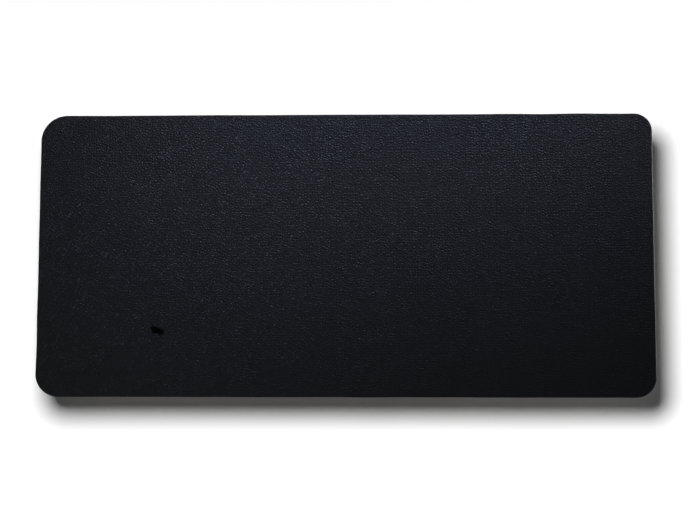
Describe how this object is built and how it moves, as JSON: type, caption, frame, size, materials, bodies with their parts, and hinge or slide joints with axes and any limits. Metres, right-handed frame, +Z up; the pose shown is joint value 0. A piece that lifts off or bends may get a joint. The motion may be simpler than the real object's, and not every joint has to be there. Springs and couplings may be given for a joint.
{
  "type": "kick plate",
  "caption": "Flat door kick plate in grained black plastic with rounded corners, held by double-sided foam tape strips under peel-off release liners.",
  "frame": {"origin": "middle of the plane where the outer faces of the release liners meet the door, at the centre of the plate's width and height", "axes": "+X along the width, to the right as seen from the front; +Z up the door; +Y into the door, so the grained face looks towards -Y"},
  "size_m": [0.6604, 0.0044, 0.3048],
  "materials": {
    "plate_plastic": "matte",
    "foam_tape": "matte",
    "liner_paper": "satin"
  },
  "bodies": {
    "plate": {"face_plate": "plate_plastic", "tape_top": "foam_tape", "tape_bottom": "foam_tape", "tape_left": "foam_tape", "tape_right": "foam_tape", "tape_inner_left": "foam_tape", "tape_middle": "foam_tape", "tape_inner_right": "foam_tape"},
    "liner_top": {"liner_top": "liner_paper"},
    "liner_bottom": {"liner_bottom": "liner_paper"},
    "liner_left": {"liner_left": "liner_paper"},
    "liner_right": {"liner_right": "liner_paper"},
    "liner_inner_left": {"liner_inner_left": "liner_paper"},
    "liner_middle": {"liner_middle": "liner_paper"},
    "liner_inner_right": {"liner_inner_right": "liner_paper"}
  },
  "joints": [
    {"name": "peel_top", "type": "slide", "parent": "plate", "child": "liner_top", "axis": [0, 1, 0], "range_m": [0, 0.03]},
    {"name": "peel_bottom", "type": "slide", "parent": "plate", "child": "liner_bottom", "axis": [0, 1, 0], "range_m": [0, 0.03]},
    {"name": "peel_left", "type": "slide", "parent": "plate", "child": "liner_left", "axis": [0, 1, 0], "range_m": [0, 0.03]},
    {"name": "peel_right", "type": "slide", "parent": "plate", "child": "liner_right", "axis": [0, 1, 0], "range_m": [0, 0.03]},
    {"name": "peel_inner_left", "type": "slide", "parent": "plate", "child": "liner_inner_left", "axis": [0, 1, 0], "range_m": [0, 0.03]},
    {"name": "peel_middle", "type": "slide", "parent": "plate", "child": "liner_middle", "axis": [0, 1, 0], "range_m": [0, 0.03]},
    {"name": "peel_inner_right", "type": "slide", "parent": "plate", "child": "liner_inner_right", "axis": [0, 1, 0], "range_m": [0, 0.03]}
  ]
}
